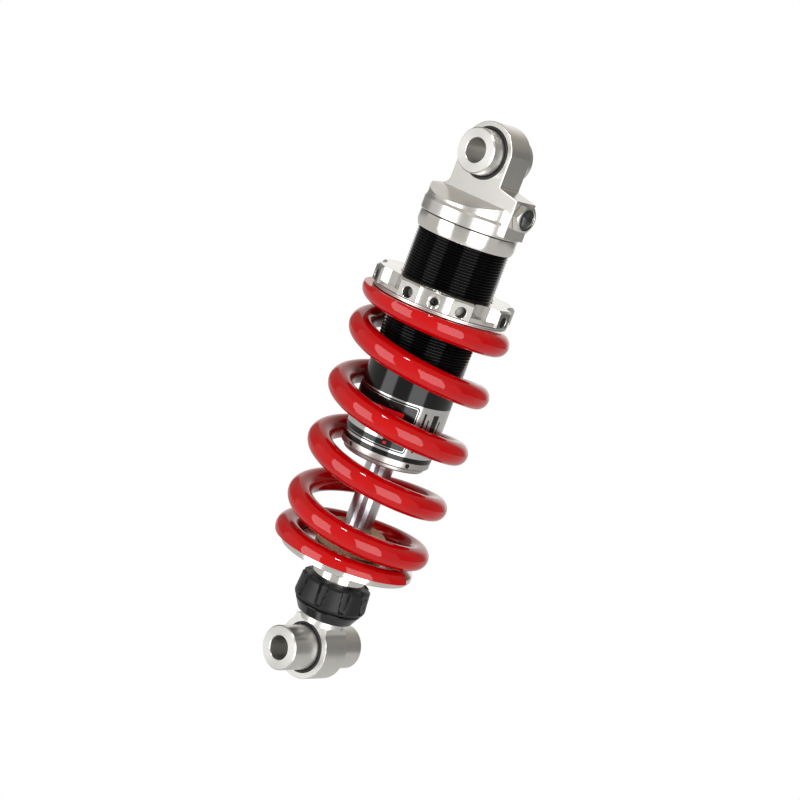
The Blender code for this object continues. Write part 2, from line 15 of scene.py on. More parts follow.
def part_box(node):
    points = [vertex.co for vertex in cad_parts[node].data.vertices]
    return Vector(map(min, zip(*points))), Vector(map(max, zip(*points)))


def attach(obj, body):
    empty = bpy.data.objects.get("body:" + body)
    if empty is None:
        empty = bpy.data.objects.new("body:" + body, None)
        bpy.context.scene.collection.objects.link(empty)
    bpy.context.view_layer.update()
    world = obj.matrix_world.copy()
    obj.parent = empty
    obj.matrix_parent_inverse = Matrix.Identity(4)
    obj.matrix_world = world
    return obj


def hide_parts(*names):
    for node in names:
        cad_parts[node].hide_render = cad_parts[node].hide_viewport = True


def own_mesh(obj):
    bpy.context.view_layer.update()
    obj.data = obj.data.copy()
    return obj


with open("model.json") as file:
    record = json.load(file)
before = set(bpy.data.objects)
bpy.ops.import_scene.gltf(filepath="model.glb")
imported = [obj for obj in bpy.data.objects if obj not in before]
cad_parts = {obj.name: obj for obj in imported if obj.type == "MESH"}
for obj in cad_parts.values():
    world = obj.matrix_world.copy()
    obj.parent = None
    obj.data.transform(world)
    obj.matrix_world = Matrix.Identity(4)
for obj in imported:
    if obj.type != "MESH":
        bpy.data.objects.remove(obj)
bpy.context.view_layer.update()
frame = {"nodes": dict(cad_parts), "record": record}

ALONG_X = Matrix.Rotation(math.radians(90), 4, "Y")
ALONG_Y = Matrix.Rotation(math.radians(-90), 4, "X")
STANDING = Matrix.Rotation(math.radians(90), 4, "X")  # turns an (x, y) outline into an (x, z) one


# ---------------------------------------------------------------- node materials


class Finish:
    """A node material under construction, with short calls for the nodes it needs."""

    def __init__(self, name):
        self.material = bpy.data.materials.new(name)
        self.material.use_nodes = True
        self.tree = self.material.node_tree
        self.shader = self.tree.nodes["Principled BSDF"]

    def node(self, kind, **settings):
        made = self.tree.nodes.new(kind)
        for name, value in settings.items():
            setattr(made, name, value)
        return made

    def link(self, output, to):
        self.tree.links.new(output, to)

    def set(self, **values):
        for name, value in values.items():
            self.shader.inputs[name.replace("_", " ")].default_value = value

    def position(self):
        return self.node("ShaderNodeTexCoord").outputs["Object"]

    def math(self, operation, *values):
        made = self.node("ShaderNodeMath", operation=operation)
        for socket, value in zip(made.inputs, values):
            if isinstance(value, (int, float)):
                socket.default_value = value
            else:
                self.link(value, socket)
        return made.outputs[0]

    def stretched(self, scale):
        """The object's coordinates scaled along each axis."""
        made = self.node("ShaderNodeMapping")
        made.inputs["Scale"].default_value = scale
        self.link(self.position(), made.inputs["Vector"])
        return made.outputs[0]

    def rings(self, axis="Z", scale=1.0):
        """Coordinates that are constant round `axis`, so a noise read at them makes turning marks."""
        parts = self.node("ShaderNodeSeparateXYZ")
        self.link(self.position(), parts.inputs[0])
        names = [a for a in "XYZ" if a != axis]
        squares = [self.math("MULTIPLY", parts.outputs[a], parts.outputs[a]) for a in names]
        radius = self.math("SQRT", self.math("ADD", *squares))
        joined = self.node("ShaderNodeCombineXYZ")
        self.link(self.math("MULTIPLY", radius, scale), joined.inputs[0])
        self.link(self.math("MULTIPLY", parts.outputs[axis], scale), joined.inputs[1])
        return joined.outputs[0]

    def noise(self, at, scale, detail=3.0, roughness=0.55):
        made = self.node("ShaderNodeTexNoise")
        made.inputs["Scale"].default_value = scale
        made.inputs["Detail"].default_value = detail
        made.inputs["Roughness"].default_value = roughness
        self.link(at, made.inputs["Vector"])
        return made.outputs["Fac"]

    def ramp(self, value, low, high, start=0.3, end=0.7):
        made = self.node("ShaderNodeMapRange")
        made.inputs["From Min"].default_value = start
        made.inputs["From Max"].default_value = end
        made.inputs["To Min"].default_value = low
        made.inputs["To Max"].default_value = high
        self.link(value, made.inputs["Value"])
        return made.outputs[0]

    def blend_colours(self, factor, first, second):
        made = self.node("ShaderNodeMix", data_type="RGBA")
        made.inputs["A"].default_value = (*first, 1)
        made.inputs["B"].default_value = (*second, 1)
        self.link(factor, made.inputs["Factor"])
        return made.outputs["Result"]

    def colour(self, output):
        self.link(output, self.shader.inputs["Base Color"])

    def roughness(self, output):
        self.link(output, self.shader.inputs["Roughness"])

    def bump(self, height, strength, distance):
        last = self.shader.inputs["Normal"].links
        made = self.node("ShaderNodeBump")
        made.inputs["Strength"].default_value = strength
        made.inputs["Distance"].default_value = distance
        self.link(height, made.inputs["Height"])
        if last:
            self.link(last[0].from_socket, made.inputs["Normal"])
        self.link(made.outputs[0], self.shader.inputs["Normal"])


def turned_metal(name, light, dark, smooth, rough, axis="Z", marks=0.15, metallic=1.0, stretch=0.7, **more):
    """Metal with fine turning marks round one axis, which draw its reflections out across them."""
    finish = Finish(name)
    finish.set(Metallic=metallic, Anisotropic=stretch, Anisotropic_Rotation=0.25, **more)
    blotches = finish.noise(finish.position(), 60.0, 3.0)
    finish.colour(finish.blend_colours(finish.ramp(blotches, 0.0, 1.0), dark, light))
    cuts = finish.noise(finish.rings(axis), 4200.0, 2.0, 0.7)
    finish.roughness(finish.ramp(cuts, smooth, rough))
    finish.bump(cuts, marks, 0.00001)
    round_axis = finish.node("ShaderNodeTangent", direction_type="RADIAL", axis=axis)
    finish.link(round_axis.outputs[0], finish.shader.inputs["Tangent"])
    return finish.material


def blasted_metal(name, light, dark, smooth, rough, grain=0.02):
    """Fine bead-blasted and anodised aluminium, with faint cutter marks under the grain."""
    finish = Finish(name)
    finish.set(Metallic=1.0)
    blotches = finish.noise(finish.position(), 70.0, 5.0)
    finish.colour(finish.blend_colours(finish.ramp(blotches, 0.0, 1.0), dark, light))
    speckle = finish.noise(finish.position(), 9000.0, 2.0)
    strokes = finish.noise(finish.stretched((160.0, 2600.0, 2600.0)), 1.0, 2.0)
    finish.roughness(finish.ramp(strokes, smooth, rough))
    finish.bump(speckle, grain, 0.00002)
    finish.bump(strokes, grain * 0.6, 0.00002)
    return finish.material


def powder_coat(name, colour, deep):
    """Thick gloss powder coat: deep colour, a clear skin and a faint orange-peel surface."""
    finish = Finish(name)
    finish.set(Specular_IOR_Level=0.0, Coat_Weight=1.0, Coat_Roughness=0.03, Coat_IOR=1.43)
    depth = finish.noise(finish.position(), 55.0, 3.0)
    finish.colour(finish.blend_colours(finish.ramp(depth, 0.0, 1.0), deep, colour))
    finish.roughness(finish.ramp(finish.noise(finish.position(), 900.0, 2.0), 0.28, 0.34))
    peel = finish.noise(finish.position(), 420.0, 1.5)
    finish.bump(peel, 0.05, 0.0001)
    return finish.material


def polymer(name, colour, worn, smooth, rough, grain_scale, grain, **more):
    """Rubber or moulded plastic with a fine grain and slightly paler rubbed patches."""
    finish = Finish(name)
    finish.set(**more)
    patches = finish.noise(finish.position(), 130.0, 5.0)
    finish.colour(finish.blend_colours(finish.ramp(patches, 0.0, 1.0, 0.4, 0.8), colour, worn))
    grains = finish.noise(finish.position(), grain_scale, 3.0)
    finish.roughness(finish.ramp(patches, smooth, rough))
    finish.bump(grains, grain, 0.00003)
    return finish.material


def foam(name, light, dark):
    """Closed-cell foam: small open pores in a matt skin, the pores painted darker as shade inside them."""
    finish = Finish(name)
    cells = finish.node("ShaderNodeTexVoronoi")
    cells.inputs["Scale"].default_value = 1500.0
    finish.link(finish.position(), cells.inputs["Vector"])
    pores_and_pore_shade = finish.ramp(cells.outputs["Distance"], 0.0, 1.0, 0.05, 0.55)
    # Painted shade: each pore is coloured darker as well as bumped in.
    finish.colour(finish.blend_colours(pores_and_pore_shade, dark, light))
    finish.roughness(finish.ramp(finish.noise(finish.position(), 200.0), 0.75, 0.92))
    finish.bump(pores_and_pore_shade, 0.5, 0.00012)
    return finish.material


WARM_LIGHT, WARM_DARK = (0.80, 0.785, 0.75), (0.73, 0.715, 0.68)
FINISHES = {
    "machined_aluminium": turned_metal("turned_aluminium", WARM_LIGHT, WARM_DARK, 0.15, 0.19),
    "milled_aluminium": blasted_metal(
        "milled_aluminium", (0.78, 0.765, 0.735), (0.74, 0.725, 0.695), 0.22, 0.26
    ),
    # Drilled holes: a drill's rougher finish, with the colour painted much darker as the shade inside the
    # holes.
    "drilled_aluminium_painted_shade": blasted_metal(
        "drilled_aluminium_painted_shade", (0.30, 0.295, 0.28), (0.24, 0.235, 0.22), 0.40, 0.50
    ),
    "bead_blasted": blasted_metal("bead_blasted", (0.70, 0.69, 0.665), (0.66, 0.65, 0.625), 0.34, 0.38),
    "satin_aluminium": turned_metal(
        "satin_aluminium", (0.60, 0.59, 0.57), (0.54, 0.53, 0.51), 0.34, 0.40, stretch=0.5
    ),
    "black_anodised": turned_metal(
        "black_anodised", (0.0012, 0.0012, 0.0015), (0.0008, 0.0008, 0.001), 0.10, 0.14,
        marks=0.02, metallic=0.0, stretch=0.0, IOR=1.40,
    ),
    "sleeve_steel": turned_metal(
        "sleeve_steel", (0.68, 0.67, 0.65), (0.64, 0.63, 0.61), 0.31, 0.35, "Y", stretch=0.3
    ),
    "valve_steel": turned_metal("valve_steel", (0.72, 0.71, 0.68), (0.66, 0.65, 0.62), 0.18, 0.22, "X"),
    "hardened_steel": turned_metal("hardened_steel", (0.30, 0.30, 0.31), (0.20, 0.20, 0.21), 0.25, 0.40),
    # Lock screw: dark steel, painted nearly black as the shade inside its countersunk hole.
    "dark_steel_hole_shade": turned_metal(
        "dark_steel_hole_shade", (0.020, 0.020, 0.022), (0.012, 0.012, 0.014), 0.30, 0.42, metallic=0.0, stretch=0.0
    ),
    "hard_chrome": turned_metal(
        "hard_chrome", (0.60, 0.59, 0.62), (0.56, 0.55, 0.58), 0.16, 0.18, stretch=0.97
    ),
    "red_spring": powder_coat("red_powder_coat", (0.41, 0.0, 0.001), (0.36, 0.0, 0.001)),
    "black_rubber": polymer(
        "black_rubber", (0.008, 0.008, 0.008), (0.018, 0.018, 0.018), 0.42, 0.60, 2500.0, 0.15
    ),
    "black_plastic": polymer(
        "black_plastic", (0.005, 0.005, 0.006), (0.010, 0.010, 0.011), 0.38, 0.46, 3200.0, 0.12, IOR=1.38
    ),
    "valve_cap_plastic": polymer(
        "valve_cap_plastic", (0.012, 0.012, 0.013), (0.02, 0.02, 0.022), 0.12, 0.20, 2000.0, 0.04,
        Coat_Weight=0.5,
    ),
    # Tan foam: the darker colour is painted shade in the pores.
    "tan_foam": foam("tan_foam", (0.66, 0.50, 0.31), (0.30, 0.21, 0.12)),
    "foil_label": turned_metal("foil_label", (0.66, 0.66, 0.66), (0.60, 0.60, 0.60), 0.16, 0.20, marks=0.02),
    "bearing_bronze": turned_metal(
        "bearing_bronze", (0.55, 0.38, 0.18), (0.42, 0.28, 0.12), 0.30, 0.45, "Y"
    ),
    "piston_band_ptfe": polymer(
        "piston_band", (0.10, 0.22, 0.18), (0.14, 0.27, 0.22), 0.40, 0.55, 1500.0, 0.1
    ),
    "label_ink": polymer(
        "label_ink", (0.004, 0.003, 0.003), (0.006, 0.004, 0.004), 0.10, 0.16, 1500.0, 0.02, IOR=1.42
    ),
    "label_red": polymer(
        "label_red", (0.60, 0.004, 0.01), (0.64, 0.006, 0.014), 0.12, 0.18, 1500.0, 0.02
    ),
    "dial_plastic": polymer(
        "dial_plastic", (0.005, 0.005, 0.006), (0.008, 0.008, 0.009), 0.12, 0.18, 1500.0, 0.02, IOR=1.45
    ),
}
for node in frame["record"]["subparts"]:
    cad = frame["nodes"][node["node"]]
    cad.data.materials.clear()
    cad.data.materials.append(FINISHES[node["material_slot"]])


# ---------------------------------------------------------------- shapes


def rounded(outline, radius, steps=3):
    """A closed 2-D outline with a small curve at each corner that turns by 20 degrees or more."""
    points = [Vector(p) for p in outline]
    result = []
    for i, here in enumerate(points):
        before, after = points[i - 1] - here, points[(i + 1) % len(points)] - here
        if before.length < 1e-9 or after.length < 1e-9:
            continue
        inner = before.angle(after)
        if here.x < 1e-9 or math.pi - inner < math.radians(20):
            result.append(here)
            continue
        reach = min(radius / math.tan(inner / 2), before.length * 0.45, after.length * 0.45)
        start, end = here + before.normalized() * reach, here + after.normalized() * reach
        for k in range(steps + 1):
            t = k / steps
            result.append((1 - t) ** 2 * start + 2 * t * (1 - t) * here + t**2 * end)
    return result


def skin(bm, rows, closed=False):
    """Join each row of vertices to the next; then the last to the first if `closed`, or cap both ends."""
    following = rows[1:] + rows[:1] if closed else rows[1:]
    for a, b in zip(rows, following):
        for k in range(len(a)):
            after = (k + 1) % len(a)
            bm.faces.new((a[k], b[k], b[after], a[after]))
    if not closed:
        bm.faces.new(rows[0])
        bm.faces.new(list(reversed(rows[-1])))


def turned(outline, steps=128, radius=0.0002):
    """Spin a closed (radius, height) outline round Z, its corners rounded by `radius`."""
    bm = bmesh.new()
    points = rounded(outline, radius) if radius else [Vector(p) for p in outline]
    columns = []
    for s in range(steps):
        angle = 2 * math.pi * s / steps
        columns.append([bm.verts.new((p.x * math.cos(angle), p.x * math.sin(angle), p.y)) for p in points])
    skin(bm, columns, closed=True)
    bmesh.ops.remove_doubles(bm, verts=bm.verts, dist=1e-8)
    bmesh.ops.dissolve_degenerate(bm, edges=bm.edges, dist=1e-8)
    bmesh.ops.recalc_face_normals(bm, faces=bm.faces)
    return bm


def ring(inner, outer, low, high, steps=128, radius=0.0002):
    return turned([(inner, low), (outer, low), (outer, high), (inner, high)], steps, radius)


def arc(centre, radius, start, end, steps):
    """Points on an arc, with angles in degrees."""
    points = []
    for i in range(steps + 1):
        angle = math.radians(start + (end - start) * i / steps)
        points.append((centre[0] + radius * math.cos(angle), centre[1] + radius * math.sin(angle)))
    return points


def inset(outline, depth):
    """A closed outline moved inwards by `depth`; it runs anticlockwise."""
    points = [Vector(p) for p in outline]
    moved = []
    for i, here in enumerate(points):
        along = (here - points[i - 1]).normalized()
        onward = (points[(i + 1) % len(points)] - here).normalized()
        normal = Vector((-along.y - onward.y, along.x + onward.x))
        share = max(0.35, normal.length_squared / 4)
        moved.append(here + normal.normalized() * depth / math.sqrt(share))
    return moved


def slab(outline, low, high, edge=0.0004, steps=3):
    """Extrude an anticlockwise outline along Z, with its two rims rounded by `edge`."""
    bm = bmesh.new()
    levels = []
    for k in range(steps + 1):
        quarter = math.pi / 2 * k / steps
        levels.append((edge * (1 - math.sin(quarter)), low + edge * (1 - math.cos(quarter))))
    levels += [(depth, low + high - z) for depth, z in reversed(levels)]
    if not edge:
        levels = [(0, low), (0, high)]
    rings = [[bm.verts.new((p.x, p.y, z)) for p in inset(outline, depth)] for depth, z in levels]
    for a, b in zip(rings, rings[1:]):
        for k in range(len(a)):
            after = (k + 1) % len(a)
            bm.faces.new((a[k], a[after], b[after], b[k]))
    bm.faces.new(list(reversed(rings[0])))
    bm.faces.new(rings[-1])
    return bm


def flared_hole(radius, low, high, chamfer, steps=96):
    """A cutter for a hole that runs from `low` to `high` and widens at both mouths."""
    wide, beyond = radius + 2 * chamfer, 0.002
    return turned(
        [
            (0, low - beyond),
            (wide + beyond, low - beyond),
            (wide, low - chamfer),
            (radius, low + chamfer),
            (radius, high - chamfer),
            (wide, high + chamfer),
            (wide + beyond, high + beyond),
            (0, high + beyond),
        ],
        steps,
        0,
    )


def drill(radius, bottom, mouth, chamfer=0.0003, steps=40):
    """A cutter for a blind drilled hole with a conical bottom and a chamfered mouth."""
    return turned(
        [
            (0, bottom - radius * 0.5),
            (radius, bottom),
            (radius, mouth - chamfer),
            (radius + 2 * chamfer, mouth + chamfer),
            (radius + 2 * chamfer, mouth + 0.004),
            (0, mouth + 0.004),
        ],
        steps,
        0,
    )


def pointing_out(angle, height):
    """The matrix that lays a Z-axis shape along the radius at `angle`, at `height`."""
    return Matrix.Translation((0, 0, height)) @ Matrix.Rotation(angle, 4, "Z") @ ALONG_X


def mesh_object(name, bm, turn=None):
    if turn is not None:
        bmesh.ops.transform(bm, matrix=turn, verts=bm.verts)
    bmesh.ops.recalc_face_normals(bm, faces=bm.faces)
    mesh = bpy.data.meshes.new(name)
    bm.to_mesh(mesh)
    bm.free()
    obj = bpy.data.objects.new(name, mesh)
    bpy.context.scene.collection.objects.link(obj)
    return obj


def combined(obj, operation, bm, turn=None):
    """Cut, join or intersect `obj` with `bm`, and keep the result as its mesh."""
    other = mesh_object("tool", bm, turn)
    modifier = obj.modifiers.new("combine", "BOOLEAN")
    modifier.operation = operation
    modifier.object = other
    modifier.solver = "EXACT"
    settle(obj)
    bpy.data.objects.remove(other, do_unlink=True)
    return obj


def settle(obj):
    """Make the evaluated mesh of `obj` its own, with no modifiers left."""
    bpy.context.view_layer.update()
    graph = bpy.context.evaluated_depsgraph_get()
    final = bpy.data.meshes.new_from_object(obj.evaluated_get(graph))
    obj.modifiers.clear()
    obj.data = final


def soften(obj, width, segments=2, angle=40):
    """Round the sharp edges that a Boolean has left."""
    modifier = obj.modifiers.new("soften", "BEVEL")
    modifier.width = width
    modifier.segments = segments
    modifier.limit_method = "ANGLE"
    modifier.angle_limit = math.radians(angle)
    modifier.harden_normals = True
    modifier.loop_slide = True
    settle(obj)


def show(obj, body, slot, node=None, finish=None, sharp=30):
    """Give a piece its finish, its body and the CAD node it stands for."""
    obj.data.materials.clear()
    obj.data.materials.append(FINISHES[finish or slot])
    obj.data.shade_smooth()
    obj.data.set_sharp_from_angle(angle=math.radians(sharp))
    flat_faces = obj.modifiers.new("flat_faces", "WEIGHTED_NORMAL")
    flat_faces.keep_sharp = True
    flat_faces.weight = 80
    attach(obj, body)
    if node:
        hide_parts(node)
    return obj


def shade_holes(obj, places, radius):
    """Paint the walls and bottoms of drilled holes dark as painted shade, with the rougher finish a drill
    leaves.
    """
    obj.data.materials.append(FINISHES["drilled_aluminium_painted_shade"])
    inward = [place.inverted() for place in places]
    for face in obj.data.polygons:
        for place in inward:
            at = place @ face.center
            if at.z > 0 and math.hypot(at.x, at.y) < radius * 1.001:
                face.material_index = 1


# ---------------------------------------------------------------- sizes; boxes come from the frame


def extent(node):
    """(largest distance from the Z axis, lowest z, highest z) of a turned CAD node."""
    low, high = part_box(node)
    return high.x, low.z, high.z


EYE_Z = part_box("lower_sleeve")[0].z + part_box("lower_sleeve")[1].x
TUBE_R, TUBE_LOW, TUBE_HIGH = extent("damper_tube")
TUBE_BORE_R = 0.0200
THREAD_DEPTH = 0.00088
THREAD_PITCH = 0.0015
THREAD_TOP = -0.0385
THREAD_END = -0.1120
SMOOTH_R = TUBE_R - 0.00028
EYE_BORE_R = 0.0133
SLEEVE_BORE_R = 0.0063
SEAL_R = 0.0132
SEAL_REACH = 0.0004  # how far the dust seals stand out of the eyes' faces
HEAD_LOW = -0.0366
HEAD_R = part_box("head")[1].y
VALVE_BOSS_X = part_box("head")[1].x
FLANGE_R = 0.0239  # of the seal head
SPANNER_HOLE_R = 0.0012
SPANNER_HOLE_Z = -0.1614
SPANNER_HOLES = (-101, -18.5, 79, 161.5)  # degrees round from +X
SPRING_LOW, SPRING_HIGH = extent("coil_spring")[1:]
WIRE_R = 0.00636
SPRING_MEAN_R = 0.02807 + WIRE_R
RING_LOW, RING_HIGH = extent("preload_ring")[1:]
RING_R = 0.0375
RING_BORE_R = 0.0247
LEDGE_R, LEDGE_TOP = 0.0364, -0.0768
PIN_HOLE_R = 0.0029
PIN_HOLE_Z = -0.0758
SCREW_R = 0.0019
SCREW_Z = -0.0753
PERCH_R, PERCH_LOW, PILOT_HIGH = extent("spring_perch")
ROD_R = extent("piston_rod")[0]
KNOB_LOW, KNOB_HIGH = extent("rebound_knob")[1:]
DIAL_LOW = extent("knob_dial")[1]


# ---------------------------------------------------------------- pieces


def make_eye(prefix, height, body, sleeve_body):
    """The sleeve and the two dust seals of one eye, whose middle is at `height`."""
    across = Matrix.Translation((0, 0, height)) @ ALONG_Y
    low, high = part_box(f"{prefix}_sleeve")
    half, radius, bore = high.y, high.x, SLEEVE_BORE_R
    sleeve = [
        (bore + 0.0003, -half),
        (radius - 0.0006, -half),
        (radius, -half + 0.0007),
        (radius, half - 0.0007),
        (radius - 0.0006, half),
        (bore + 0.0003, half),
        (bore, half - 0.0004),
        (bore, -half + 0.0004),
    ]
    piece = mesh_object(f"{prefix}_sleeve_turned", turned(sleeve, 128, 0.00012), across)
    show(piece, sleeve_body, "sleeve_steel", f"{prefix}_sleeve")
    for side in ("front", "rear"):
        seal_low, seal_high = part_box(f"{prefix}_seal_{side}")
        out, outer = (-1, seal_low.y) if side == "front" else (1, seal_high.y)
        lip = [
            (0.01205, outer - out * 0.0024),
            (SEAL_R, outer - out * 0.0024),
            (SEAL_R, outer - out * 0.0003),
            (0.0126, outer),
            (0.0119, outer - out * 0.0006),
        ]
        piece = mesh_object(f"{prefix}_seal_{side}_lip", turned(lip, 96, 0.00015), across)
        show(piece, body, "black_rubber", f"{prefix}_seal_{side}")


def lug_outline():
    """The flat faces of the head, in X and Z, anticlockwise: boss, eye and left shoulder."""
    left, right = -0.01607, 0.01585
    eye_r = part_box("head")[1].z
    foot, far_left = HEAD_LOW + 0.0013, -0.0258
    boss_fillet, shoulder_fillet = 0.0009, 0.005
    return [
        (far_left, foot),
        (VALVE_BOSS_X, foot),
        (VALVE_BOSS_X, -0.0156),
        *arc((right + boss_fillet, -0.01245), boss_fillet, 265, 180, 4),
        *arc((0, 0), eye_r, 12, 168, 48),
        (left, -0.0120),
        *arc((left - shoulder_fillet, -0.0172), shoulder_fillet, 0, -70, 10),
        (far_left, -0.0243),
    ]


def make_head():
    """Eye lug, hipped shoulder, ring and valve boss in one machined piece."""
    top_r, top = HEAD_R - 0.0008, -0.0200
    shoulder = [
        (0, HEAD_LOW),
        (HEAD_R - 0.0004, HEAD_LOW),
        (HEAD_R, HEAD_LOW + 0.0004),
        (HEAD_R, -0.0303),
        (top_r, -0.0287),
        (top_r, top),
        (0, top),
    ]
    head = mesh_object("head_machined", turned(shoulder, 160, 0.0001))
    face_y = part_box("upper_seal_rear")[1].y - SEAL_REACH
    ridge, eaves = -0.0221, -0.0277
    beyond, below, half_length = 0.028, -0.040, 0.03  # past the turned shoulder on every side
    roof = [
        (-beyond, below),
        (beyond, below),
        (beyond, eaves - 0.0004),
        (face_y, ridge),
        (-face_y, ridge),
        (-beyond, eaves - 0.0004),
    ]
    lengthwise = Matrix.Rotation(math.radians(90), 4, "Z") @ STANDING
    combined(head, "INTERSECT", slab(roof, -half_length, half_length, 0), lengthwise)
    hip = [
        (-beyond, below),
        (beyond, below),
        (beyond, top),
        (-0.0180, -0.0214),
        (-0.0194, -0.0219),
        (-beyond, -0.0251),
    ]
    combined(head, "INTERSECT", slab(hip, -half_length, half_length, 0), STANDING)
    combined(head, "UNION", slab(lug_outline(), -face_y, face_y, 0.0005), STANDING)
    square = [(-0.004, -0.004), (0.004, -0.004), (0.004, 0.004), (-0.004, 0.004)]
    for side in (-1, 1):
        corner = Matrix.Translation((VALVE_BOSS_X + 0.0035, side * (face_y + 0.0035), -0.025))
        eighth_turn = Matrix.Rotation(math.radians(45), 4, "Z")
        combined(head, "DIFFERENCE", slab(square, -0.02, 0.02, 0), corner @ eighth_turn)
    combined(head, "DIFFERENCE", flared_hole(EYE_BORE_R, -face_y, face_y, 0.0003), ALONG_Y)
    show(head, "damper_body", "machined_aluminium", "head", "milled_aluminium")


def make_lock_ring():
    outline = [
        (0.0245, -0.0371),
        (0.0261, -0.0371),
        (0.0261, -0.04224),
        (0.0250, -0.0453),
        (0.0246, -0.0453),
    ]
    piece = mesh_object("lock_ring_turned", turned(outline, 160, 0.0003))
    show(piece, "damper_body", "machined_aluminium", "head_lock_ring")


def make_valve():
    """Hexagon with chamfered corners and the black cap in its mouth."""
    low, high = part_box("gas_valve_body")
    axis_z = (low.z + high.z) / 2
    across = Matrix.Translation((0, 0, axis_z)) @ ALONG_X
    flat = (high.z - low.z) / 2
    corner = flat / math.cos(math.radians(30))
    face, back = high.x, VALVE_BOSS_X + 0.0002
    body = mesh_object("valve_hexagon", slab(arc((0, 0), corner, 30, 330, 5), back, face, 0), across)
    dome = [
        (0, back - 0.001),
        (corner + 0.0004, back - 0.001),
        (corner + 0.0004, face - 0.0011),
        (flat - 0.0002, face),
        (0, face),
    ]
    combined(body, "INTERSECT", turned(dome, 96, 0), across)
    combined(body, "DIFFERENCE", drill(0.0053, face - 0.0022, face, 0.00025), across)
    soften(body, 0.00012, 2)
    show(body, "damper_body", "valve_steel", "gas_valve_body")
    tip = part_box("gas_valve_cap")[1].x
    root = face - 0.0021
    cap = [
        (0, root),
        (0.0050, root),
        (0.0050, tip - 0.0019),
        (0.0046, tip - 0.0012),
        (0.0026, tip - 0.0002),
        (0.0020, tip),
        (0, tip),
    ]
    six_sided = across @ Matrix.Rotation(math.radians(12), 4, "Z")
    piece = mesh_object("valve_cap_moulded", turned(cap, 6, 0), six_sided)
    rim = turned([(0, root), (0.00505, root), (0.00505, tip - 0.0017), (0, tip - 0.0013)], 64, 0.0002)
    combined(piece, "UNION", rim, across)
    soften(piece, 0.00025, 3, 25)
    show(piece, "damper_body", "valve_cap_plastic", "gas_valve_cap")


def make_tube():
    """The damper tube, with a real 1.5 mm thread cut round its upper part."""
    root = TUBE_R - THREAD_DEPTH
    outline = [
        (TUBE_BORE_R, TUBE_LOW),
        (SMOOTH_R, TUBE_LOW),
        (SMOOTH_R, THREAD_END - 0.0022),
        (root, THREAD_END - 0.0012),
        (root, TUBE_HIGH),
        (TUBE_BORE_R, TUBE_HIGH),
    ]
    body = mesh_object("tube_turned", turned(outline, 160, 0.0002))
    show(body, "damper_body", "black_anodised", "damper_tube")
    per_turn, run_in = 96, 40  # steps round the thread, and over which each end fades out
    turns = (THREAD_TOP - THREAD_END + 0.0010) / THREAD_PITCH
    sunk = 0.00005  # how far the thread reaches into the tube's wall
    section = ((-sunk, -0.55), (THREAD_DEPTH, -0.03), (THREAD_DEPTH, 0.03), (-sunk, 0.55))
    bm = bmesh.new()
    rows = []
    count = round(turns * per_turn)
    for i in range(count + 1):
        turn = i / per_turn
        angle = -2 * math.pi * turn
        run = min(1.0, i / run_in, (count - i) / run_in)
        row = []
        for reach, drop in section:
            radius = root - sunk + (reach + sunk) * max(run, 0.02)
            z = THREAD_TOP - turn * THREAD_PITCH - drop * THREAD_PITCH
            row.append(bm.verts.new((radius * math.cos(angle), radius * math.sin(angle), z)))
        rows.append(row)
    skin(bm, rows)
    show(mesh_object("tube_thread", bm), "damper_body", "black_anodised")


def band(name, inner, outer, low, high, start, end, corner, finish):
    """A patch of foil on the tube, from angle `start` to `end` in degrees, its corners rounded."""
    steps = max(8, round((end - start) / 1.5))
    middle, half_height = (low + high) / 2, (high - low) / 2
    half_width = math.radians(end - start) / 2 * outer
    bm = bmesh.new()
    rows = []
    for i in range(steps + 1):
        angle = math.radians(start + (end - start) * (0.5 - 0.5 * math.cos(math.pi * i / steps)))
        from_edge = half_width - abs(angle - math.radians((start + end) / 2)) * outer
        drop = max(0.0, corner - from_edge)
        reach = half_height - corner + math.sqrt(max(0.0, corner**2 - drop**2))
        reach = max(reach, 0.00002)
        row = []
        for radius, z in ((inner, -reach), (outer, -reach), (outer, reach), (inner, reach)):
            row.append(bm.verts.new((radius * math.cos(angle), radius * math.sin(angle), middle + z)))
        rows.append(row)
    skin(bm, rows)
    show(mesh_object(name, bm), "damper_body", "foil_label", None, finish)


def make_label():
    """Silver foil with a dark panel, a fine silver frame, two red dashes and plain marks."""
    _, low, high = extent("tube_label")
    layer = 0.00005
    foil = SMOOTH_R + 0.00006
    under = foil - layer
    piece = mesh_object("label_foil", ring(SMOOTH_R - 0.0001, foil, low, high, 160, 0))
    show(piece, "damper_body", "foil_label", "tube_label")
    front = -54  # degrees round from +X, close to the camera's side
    start, end = front - 118, front + 25
    panel_low, panel_high = low + 0.0011, high - 0.0008
    ink, line, mark = foil + layer, foil + 2 * layer, foil + 3 * layer
    band("label_panel", under, ink, panel_low, panel_high, start, end, 0.0016, "label_ink")
    gap = 0.0009
    band(
        "label_frame", under, line, panel_low + gap, panel_high - gap,
        start + 2, end - 1.8, 0.0012, "foil_label",
    )
    edge = gap + 0.00022
    band(
        "label_field", under, mark, panel_low + edge, panel_high - edge,
        start + 2.8, end - 2.5, 0.0010, "label_ink",
    )
    top = mark + layer
    dash_low = (low + high) / 2 + 0.0052
    for dash, (start, end) in enumerate(((-62, -48), (-31, 8))):
        band(
            f"label_dash_{dash}", foil, top, dash_low, dash_low + 0.0022,
            front + start, front + end, 0.0004, "label_red",
        )
    foot = low + 0.0034
    band("label_bar", foil, top, foot + 0.0018, foot + 0.0046, front - 78, front - 6, 0.0004, "foil_label")
    band("label_square", foil, top, foot, foot + 0.0013, front - 5, front - 1, 0.0001, "label_red")
    for row, (start, end) in enumerate(((33, 36), (40, 42), (47, 56), (60, 62))):
        band(
            f"label_rule_{row}", foil, foil + layer, low + 0.0030, high - 0.0030 - 0.003 * (row % 2),
            front + start, front + end, 0.0003, "label_ink",
        )


